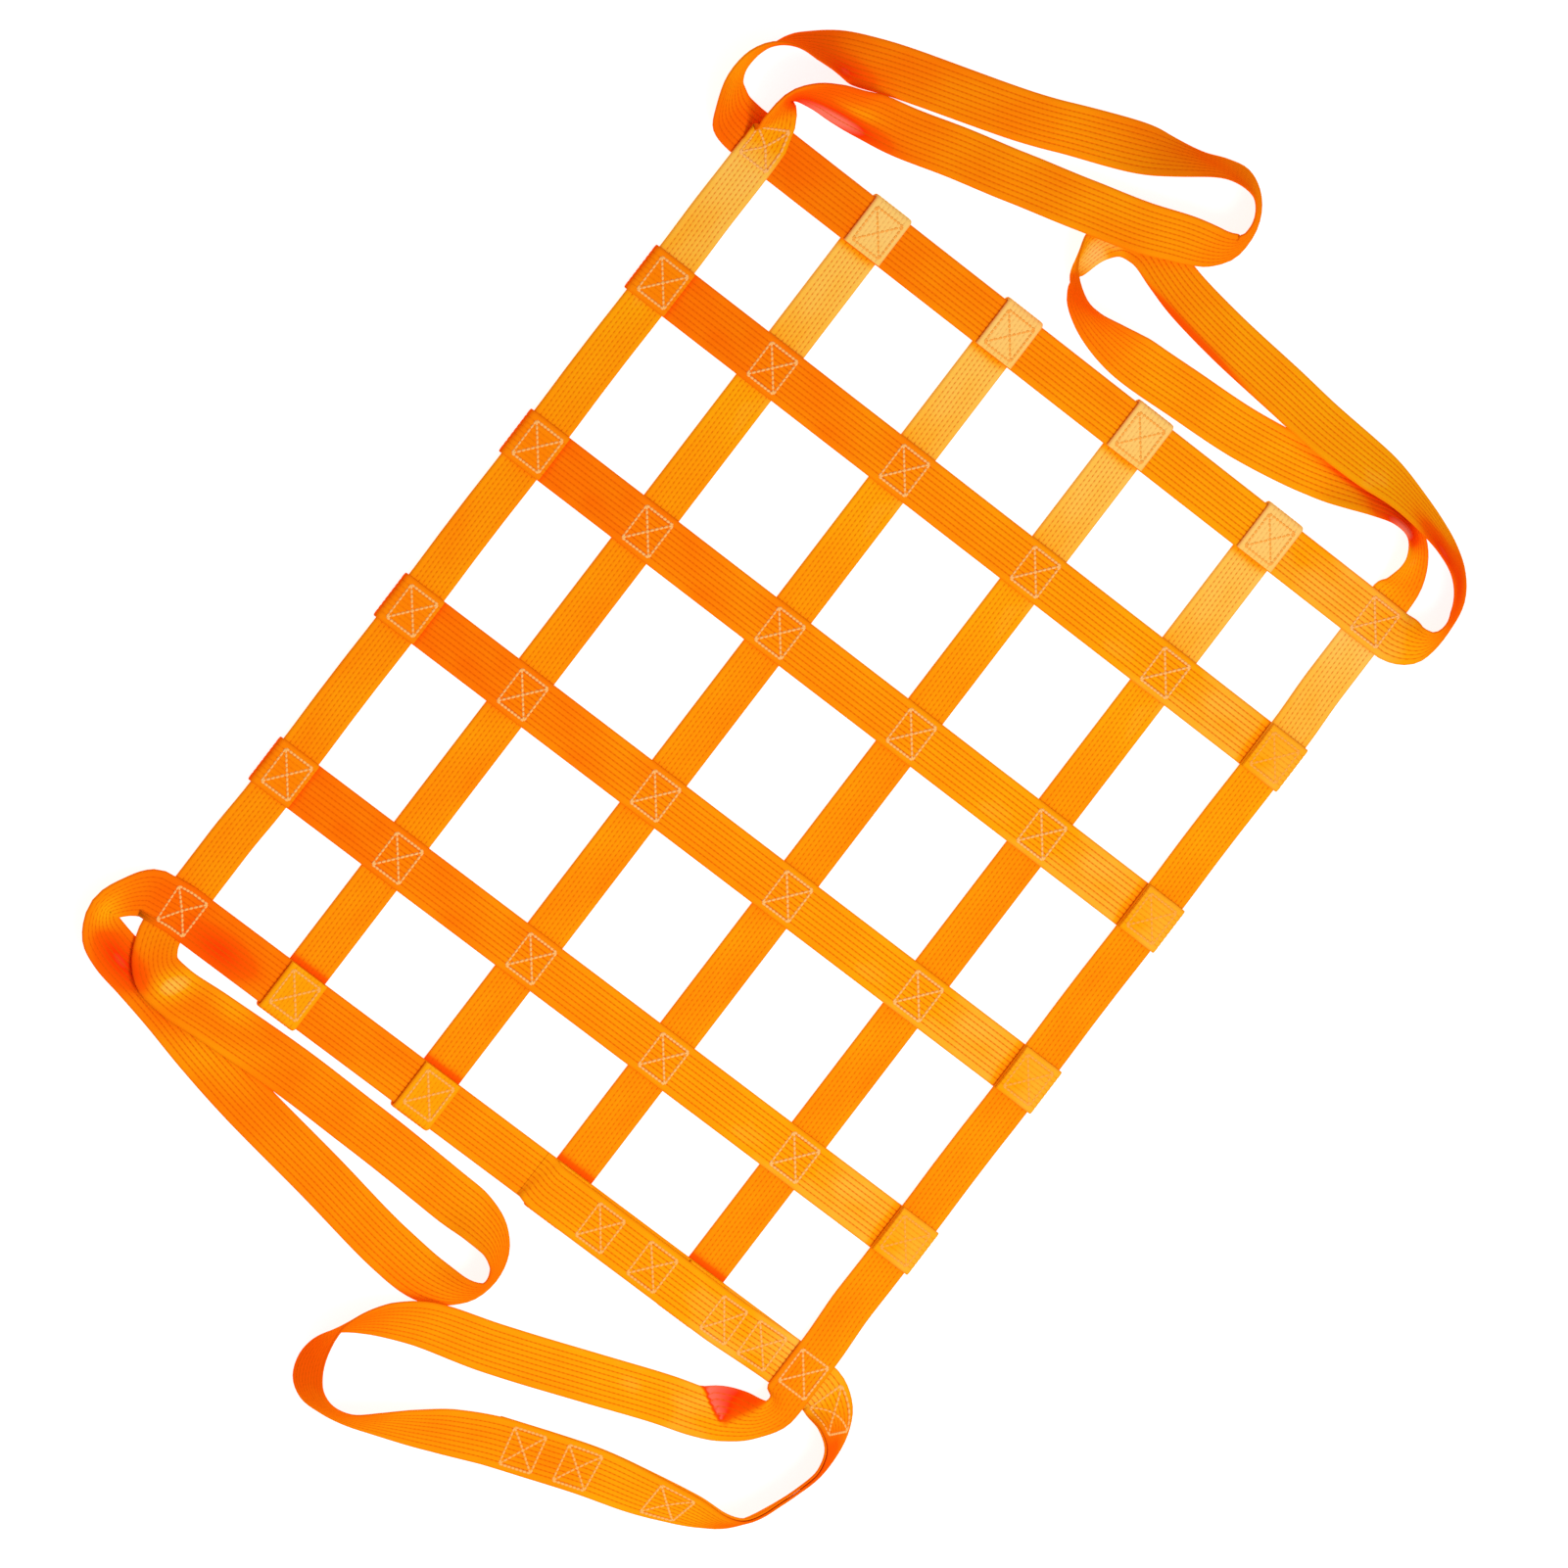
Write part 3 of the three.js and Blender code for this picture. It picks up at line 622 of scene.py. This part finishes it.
# %% A stitch
STITCH, STITCH_GAP, THREAD = 4.6 * MM, 0.15 * MM, 1.5 * MM
SIDES, RING_AT, RING_THIN, FLATTENED, END_DIP = 5, 0.42, 0.7, 0.6, 0.3
ring_turn = np.arange(SIDES) / SIDES * 2 * np.pi
ring_t = np.array([-RING_AT, 0.0, RING_AT]) * STITCH
ring_r = np.array([RING_THIN, 1.0, RING_THIN]) * THREAD
capsule = np.vstack([
    [[-STITCH / 2, 0.0, -END_DIP * THREAD]],
    np.column_stack([np.repeat(ring_t, SIDES), np.outer(ring_r, np.cos(ring_turn)).ravel(),
                     np.outer(ring_r * FLATTENED, np.sin(ring_turn)).ravel()]),
    [[STITCH / 2, 0.0, -END_DIP * THREAD]],
])
j = np.arange(SIDES)
j2 = (j + 1) % SIDES
last = 1 + 3 * SIDES
low_ring, middle_ring, high_ring = (1 + r * SIDES for r in range(3))
bands = ((low_ring, middle_ring), (middle_ring, high_ring))
capsule_faces = np.vstack(
    [np.column_stack([np.zeros(SIDES, int), low_ring + j2, low_ring + j])]
    + [np.column_stack([a + j, a + j2, b + j2]) for a, b in bands]
    + [np.column_stack([a + j, b + j2, b + j]) for a, b in bands]
    + [np.column_stack([np.full(SIDES, last), high_ring + j, high_ring + j2])])
print("a stitch has", len(capsule_faces), "triangles")

# %% [markdown]
# ## A box of stitches
# Each joint is sewn with a box of stitches and a cross inside it, which spreads the pull over both
# layers. All boxes are alike, so one list of places in the webbing's own plane serves for all.

# %% A box of stitches
BOX = 19 * MM


def seam(p, q):
    """Places and directions of the stitches on a straight seam from p to q, in the webbing's plane."""
    p, q = np.array(p), np.array(q)
    run = np.linalg.norm(q - p)
    count = max(1, round(run / (STITCH + STITCH_GAP)))
    f = (np.arange(count) + 0.5) / count
    angle = np.arctan2(*(q - p)[::-1])
    return np.column_stack([p + (q - p) * f[:, None], np.full(count, angle)])


def box_and_cross(half_s, half_w):
    """Seams of a box with a cross in it: four sides and two diagonals."""
    a, b = half_s, half_w
    ends = [((-a, -b), (a, -b)), ((a, -b), (a, b)), ((a, b), (-a, b)), ((-a, b), (-a, -b)),
            ((-a, -b), (a, b)), ((-a, b), (a, -b))]
    return np.vstack([seam(p, q) for p, q in ends])


seams = box_and_cross(BOX, BOX)
print("stitches in a box", len(seams))

# %% [markdown]
# ## Sewing
# An object for each stitch would make the scene slow, so all of them are one mesh, placed at once:
# each point of the capsule is moved to its place along, across and above the webbing, and from
# there into the scene by the frames of that webbing.

# %% All the stitches
PROUD, PULLED_IN, CORNER_PAST = 0.05 * MM, 0.5 * MM, 1 * MM
CROSSING_PULL, CORNER_PULL, SPLICE_PULL = 0.1, 0.2, 0.4
X_TAIL_PULLS, Y_TAIL_PULLS = (0.2, 0.85), (0.55, 0.8)
SPLICE_PLACES = [(149, -448), (226, -448), (338, -448), (390, -448),
                 (500, -459), (404, -622), (303, -646), (241, -664)]


def sew(path, run, boxes, seams):
    """Points of the stitches of equal boxes on one webbing, and how deep each is pulled in.

    A box is its place along the run and its pull, from 0 for thread that lies on the upper face
    to 1 for thread that is drawn right into it.
    """
    place = np.concatenate([seams + [s, 0.0, 0.0] for s, pull in boxes])
    pulled = np.repeat([pull for s, pull in boxes], len(seams))
    t, side, high = capsule.T
    cos, sin = np.cos(place[:, 2])[:, None], np.sin(place[:, 2])[:, None]
    s = place[:, 0:1] + t * cos - side * sin
    w = place[:, 1:2] + t * sin + side * cos
    middle, across, normal = (np.stack([np.interp(s, run, v[:, c]) for c in range(3)], axis=-1)
                              for v in path)
    facing = np.where(normal[..., 2:] >= 0, 1.0, -1.0)
    above = THICK / 2 + PROUD + high - PULLED_IN * pulled[:, None]
    points = middle + across * w[..., None] + normal * facing * above[..., None]
    return points.reshape(-1, 3), np.repeat(pulled, len(capsule))


tail_mid = (FOLD_AT - TAIL_END) / 2
tails_at = (tail_mid, strap_run[-1] - tail_mid)
x_boxes = [*zip(tails_at, X_TAIL_PULLS)] + [(strap_run[-1] / 2 + at, CROSSING_PULL) for at in LINES]
y_boxes = [*zip(tails_at, Y_TAIL_PULLS)]
corner_boxes = [(belt_run[belt_first[name]] + CORNER_PAST, CORNER_PULL)
                for name in ("edge_bc", "edge_ba", "edge_ad", "edge_dc")]
splice_upto = belt_first["edge_bc"] // 2
splice_boxes = [(belt_run[nearest_station(x, y, upto=splice_upto)], SPLICE_PULL) for x, y in SPLICE_PLACES]
parts = [sew(p, strap_run, x_boxes, seams) for p in x_paths]
parts += [sew(p, strap_run, y_boxes, seams) for p in y_paths[:2]]
parts += [sew(p, strap_run, y_boxes[1:], seams) for p in y_paths[2:]]
parts += [sew(belt_path, belt_run, boxes, seams) for boxes in (corner_boxes, splice_boxes)]
stitch_points = np.vstack([points for points, pulled in parts])
stitch_pulled = np.concatenate([pulled for points, pulled in parts])
stitches = len(stitch_points) // len(capsule)
stitch_faces = (capsule_faces[None] + (np.arange(stitches) * len(capsule))[:, None, None]).reshape(-1, 3)
stitch_mesh = bpy.data.meshes.new("stitching")
stitch_mesh.from_pydata(stitch_points.tolist(), [], stitch_faces.tolist())
stitch_mesh.polygons.foreach_set("use_smooth", np.ones(len(stitch_faces), bool))
pull_attribute = stitch_mesh.attributes.new("pulled", "FLOAT", "POINT")
pull_attribute.data.foreach_set("value", stitch_pulled.astype(np.float32))
stitch_piece = bpy.data.objects.new("stitching", stitch_mesh)
bpy.context.collection.objects.link(stitch_piece)
print("stitches", stitches, "triangles", len(stitch_faces))

# %% [markdown]
# ## Finishes
# Shader maths reads best as plain expressions. A small class wraps a socket, so that `1 - mask`
# adds the Math node that does it, and one method adds every other kind of node.

# %% Expressions for shader nodes
class Value:
    """A number in a node tree. + - * / on it add Math nodes."""

    def __init__(self, finish, socket):
        self.finish, self.socket = finish, socket

    def maths(self, operation, *values):
        return self.finish.add("ShaderNodeMath", {"operation": operation}, dict(enumerate(values)))

    def __add__(self, other):
        return self.maths("ADD", self, other)

    def __sub__(self, other):
        return self.maths("SUBTRACT", self, other)

    def __mul__(self, other):
        return self.maths("MULTIPLY", self, other)

    def __truediv__(self, other):
        return self.maths("DIVIDE", self, other)

    def __rsub__(self, other):
        return self.maths("SUBTRACT", other, self)

    def __rtruediv__(self, other):
        return self.maths("DIVIDE", other, self)

    __radd__, __rmul__ = __add__, __mul__

    def call(self, operation, *values):
        return self.maths(operation, self, *values)


class Finish:
    """A material with its node tree, built up from values."""

    def __init__(self, name):
        self.material = bpy.data.materials.new(name)
        self.material.use_nodes = True
        self.tree = self.material.node_tree
        self.shader = self.tree.nodes["Principled BSDF"]

    def add(self, kind, settings=None, inputs=None, output=0):
        node = self.tree.nodes.new(kind)
        for key, value in (settings or {}).items():
            setattr(node, key, value)
        for key, value in (inputs or {}).items():
            self.put(node.inputs[key], value)
        return Value(self, node.outputs[output])

    def put(self, socket, value):
        if isinstance(value, Value):
            self.tree.links.new(value.socket, socket)
        else:
            socket.default_value = value

    def surface(self, inputs):
        """Values for the inputs of the shader itself."""
        for key, value in inputs.items():
            self.put(self.shader.inputs[key], value)

    def mix(self, factor, first, second):
        """Colour mix by a factor from 0 to 1."""
        return self.add("ShaderNodeMix", {"data_type": "RGBA"}, {0: factor, 6: first, 7: second}, 2)


print("helpers for node trees:", Value.__name__, Finish.__name__)

# %% [markdown]
# ### Webbing
# The pattern follows the cloth, so it reads the piece's own map: the run along the webbing and the
# place across it, both in metres. Dark dots lie in the grooves, set half a step apart from one
# groove to the next. Between them, fine twill lines lean one way in one rib and the other way in
# the next. Slow changes of colour along the run stand for uneven dye and light handling.

# %% Webbing finish
DOT_PITCH, TWILL_ALONG, TWILL_ACROSS = 5.4 * MM, 1.5 * MM, 1.9 * MM
DOTS_TO, EDGE_FROM, EDGE_WIDE = 20 * MM, 22.5 * MM, 2.5 * MM
PATCHES, PATCH_CHANGE = (14.0, 25.0, 1.0), 0.3
TURN, BUMP, BUMP_STRENGTH = 6.2832, 0.7 * MM, 0.6
GROOVE_SHARE, DOT_SLOPE, DOT_CUT = 0.2, 4.0, 0.6
# tones at which the webbing turns to a pale painted highlight or a salmon painted shade
HIGHLIGHT_FROM, HIGHLIGHT_GAIN, DEEP_SHADE_FROM, DEEP_SHADE_MOST = 0.7, 1.5, -0.9, 0.9
# how dark the dots are and the painted shade in the grooves, and by how much a run along X, in line with
# the light, changes that
DOT_DARK, DOT_STRIPED, GROOVE_SHADE, GROOVE_SHADE_ALONG_X = 0.6, 0.3, 0.25, 0.4
PLAINER, MARGIN_DARK, TWILL_DARK = 0.65, 0.35, 0.03
# heights for the bump, as shares of its distance
TWILL_HIGH, GROOVE_LOW, DOT_LOW = 0.06, 0.3, 0.5
ROUGH, DOT_ROUGHER = 0.72, 0.15
# plain to light spans the painted sheen, pale is a painted highlight, red and salmon are painted shade;
# dark serves the dots, the painted groove shade, the margins and the twill
ORANGES = {
    "plain": (0.98, 0.11, 0.001), "light": (0.98, 0.48, 0.004), "pale": (0.98, 0.60, 0.16),
    "dark": (0.80, 0.10, 0.001), "red": (0.95, 0.03, 0.001), "salmon": (0.98, 0.20, 0.13),
}


def webbing_finish(name, plain, light, pale, dark, red, salmon):
    """Orange polyester webbing from plain to light to pale as its tone rises, as painted sheen and
    highlight, and to red and salmon as painted shade as it falls; dark in the binder dots and in the
    grooves, where shade is painted.
    """
    f = Finish(name)
    weave = f.add("ShaderNodeUVMap", {"uv_map": "weave"})
    split = f.add("ShaderNodeSeparateXYZ", inputs={0: weave})
    along, across = split, Value(f, split.socket.node.outputs[1])
    tone = f.add("ShaderNodeAttribute", {"attribute_name": "tone"}, output=2)
    plainness = f.add("ShaderNodeAttribute", {"attribute_name": "plain"}, output=2)
    striped = f.add("ShaderNodeAttribute", {"attribute_name": "striped"}, output=2)
    row = (across - float(groove_at[0])) / GROOVE_PITCH
    line = row.call("ROUND")
    off = (row - line).call("ABSOLUTE")
    inside = across.call("ABSOLUTE").call("LESS_THAN", DOTS_TO)
    groove = (1 - off / GROOVE_SHARE).call("MAXIMUM", 0.0) * inside
    beat = (along / DOT_PITCH + line * 0.5).call("FRACT")
    peak = (beat - 0.5).call("ABSOLUTE") * DOT_SLOPE - DOT_CUT
    dot = peak.call("MAXIMUM", 0.0).call("MINIMUM", 1.0) * groove
    lean = (row.call("FLOOR") / 2).call("FRACT") * 4.0 - 1.0
    twill = ((along / TWILL_ALONG + lean * across / TWILL_ACROSS) * TURN).call("SINE")
    patch = f.add("ShaderNodeTexNoise", {"noise_dimensions": "2D"},
                  {"Vector": f.add("ShaderNodeVectorMath", {"operation": "MULTIPLY"},
                                   {0: weave, 1: PATCHES}), "Scale": 1.0, "Detail": 2.0})
    # the tone carries painted sheen and shade, and the noise patch uneven dye
    shade = tone + (patch - 0.5) * PATCH_CHANGE
    colour = f.mix(shade, (*plain, 1), (*light, 1))
    colour = f.mix((shade - HIGHLIGHT_FROM).call("MAXIMUM", 0.0) * HIGHLIGHT_GAIN, colour, (*pale, 1))
    colour = f.mix((0 - shade).call("MAXIMUM", 0.0).call("MINIMUM", 1.0), colour, (*red, 1))
    deepest = (DEEP_SHADE_FROM - shade).call("MAXIMUM", 0.0).call("MINIMUM", DEEP_SHADE_MOST)
    colour = f.mix(deepest, colour, (*salmon, 1))
    margin = ((across.call("ABSOLUTE") - EDGE_FROM) / EDGE_WIDE).call("MAXIMUM", 0.0)
    # grooves darkened as painted shade, more on runs along X, which lie in line with the light
    lines = dot * (DOT_DARK - striped * DOT_STRIPED) + groove * (GROOVE_SHADE + striped * GROOVE_SHADE_ALONG_X)
    depth = lines * (1 - plainness * PLAINER) + margin * MARGIN_DARK
    colour = f.mix(depth + twill * TWILL_DARK + TWILL_DARK, colour, (*dark, 1))
    height = twill * TWILL_HIGH - groove * GROOVE_LOW - dot * DOT_LOW
    bump = f.add("ShaderNodeBump", inputs={"Strength": BUMP_STRENGTH, "Distance": BUMP, "Height": height})
    f.surface({"Base Color": colour, "Normal": bump, "Roughness": ROUGH + dot * DOT_ROUGHER,
               "Specular IOR Level": 0.0})
    return f.material


belt_finish = webbing_finish("belt_webbing_woven", **ORANGES)
x_finish = webbing_finish("x_strap_webbing_woven", **ORANGES)
y_finish = webbing_finish("y_strap_webbing_woven", **ORANGES)
print("finishes", belt_finish.name, x_finish.name, y_finish.name)

# %% [markdown]
# ### Thread
# The sewing thread is a little lighter than the webbing, with a twist that shows close up. A twist
# in the mesh would cost many faces, so a fine noise between a lit and a shaded thread colour paints
# its light and shade instead. Thread that is pulled in takes on more of the webbing's colour.

# %% Thread finish
THREAD_TWIST_SCALE, THREAD_SHADED, THREAD_LIT = 900.0, (0.98, 0.44, 0.11, 1), (0.99, 0.57, 0.20, 1)
THREAD_PULLED = (0.98, 0.36, 0.02, 1)
thread = Finish("sewing_thread")
on_piece = thread.add("ShaderNodeTexCoord", output=3)
# noise between the lit and the shaded thread colour, painted light and shade for the twist
twist_shade = thread.add("ShaderNodeTexNoise", inputs={"Vector": on_piece, "Scale": THREAD_TWIST_SCALE, "Detail": 2.0})
pulled = thread.add("ShaderNodeAttribute", {"attribute_name": "pulled"}, output=2)
colour = thread.mix(pulled, thread.mix(twist_shade, THREAD_SHADED, THREAD_LIT), THREAD_PULLED)
thread.surface({"Base Color": colour, "Roughness": 0.6, "Specular IOR Level": 0.3})
print("finish", thread.material.name)

# %% [markdown]
# ## Fitting the pieces to the frame
# Every piece rides on the net's one body and takes the place of its plain solid.

# %% Ride and replace
def dress(piece, node, finish):
    """Finish a piece of webbing, let it ride on the net's body and hide the solid that it stands for."""
    piece.data.materials.append(finish)
    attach(piece, "root")
    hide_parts(node)


dress(belt_piece, "perimeter_belt", belt_finish)
for i, piece in enumerate(x_pieces):
    dress(piece, f"x_strap_{i + 1}", x_finish)
for i, piece in enumerate(y_pieces):
    dress(piece, f"y_strap_{i + 1}", y_finish)
stitch_piece.data.materials.append(thread.material)
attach(stitch_piece, "root")

# %% [markdown]
# ## Floor
# A studio picture of this kind has a white floor with hardly a shadow, like a light table. A bright
# lamp alone would bleach the webbing too, so the floor gives off light of its own.

# %% Floor
FLOOR_HALF, FLOOR_DROP, FLOOR_GREY, FLOOR_GLOW = 8.0, 0.6 * MM, (0.4, 0.4, 0.4, 1), 0.86
SQUARE = ((-1, -1), (1, -1), (1, 1), (-1, 1))
floor_finish = Finish("studio_floor")
floor_finish.surface({"Base Color": FLOOR_GREY, "Emission Color": (1, 1, 1, 1),
                      "Emission Strength": FLOOR_GLOW, "Roughness": 0.9, "Specular IOR Level": 0.1})
floor_mesh = bpy.data.meshes.new("floor")
floor_corners = [(x * FLOOR_HALF, y * FLOOR_HALF, -FLOOR_DROP) for x, y in SQUARE]
floor_mesh.from_pydata(floor_corners, [], [(0, 1, 2, 3)])
floor_mesh.materials.append(floor_finish.material)
floor = bpy.data.objects.new("floor", floor_mesh)
bpy.context.collection.objects.link(floor)
print("floor", 2 * FLOOR_HALF, "m wide")

# %% [markdown]
# ## Light
# An even white surround fills every shadow, and one large soft light from above gives the straps
# a lighter and a darker side. View transform Standard keeps the oranges as strong as they are set.

# %% Lights
SURROUND = 0.6
world = bpy.data.worlds.new("studio")
world.use_nodes = True
world.node_tree.nodes["Background"].inputs["Color"].default_value = (1, 1, 1, 1)
world.node_tree.nodes["Background"].inputs["Strength"].default_value = SURROUND
bpy.context.scene.world = world
bpy.context.scene.view_settings.view_transform = "Standard"


def soft_light(name, place, size, power):
    """A square area light at place that looks at the net's middle."""
    data = bpy.data.lights.new(name, "AREA")
    data.shape, data.size, data.energy = "SQUARE", size, power
    lamp = bpy.data.objects.new(name, data)
    z = np.array(place) / np.linalg.norm(place)
    x = np.cross([0.0, 1.0, 0.0], z)
    x /= np.linalg.norm(x)
    y = np.cross(z, x)
    lamp.matrix_world = placed(x, y, z, place)
    bpy.context.collection.objects.link(lamp)


soft_light("overhead", place=(0.7, -0.55, 2.9), size=1.8, power=50.0)
print("surround", SURROUND, "and one lamp")
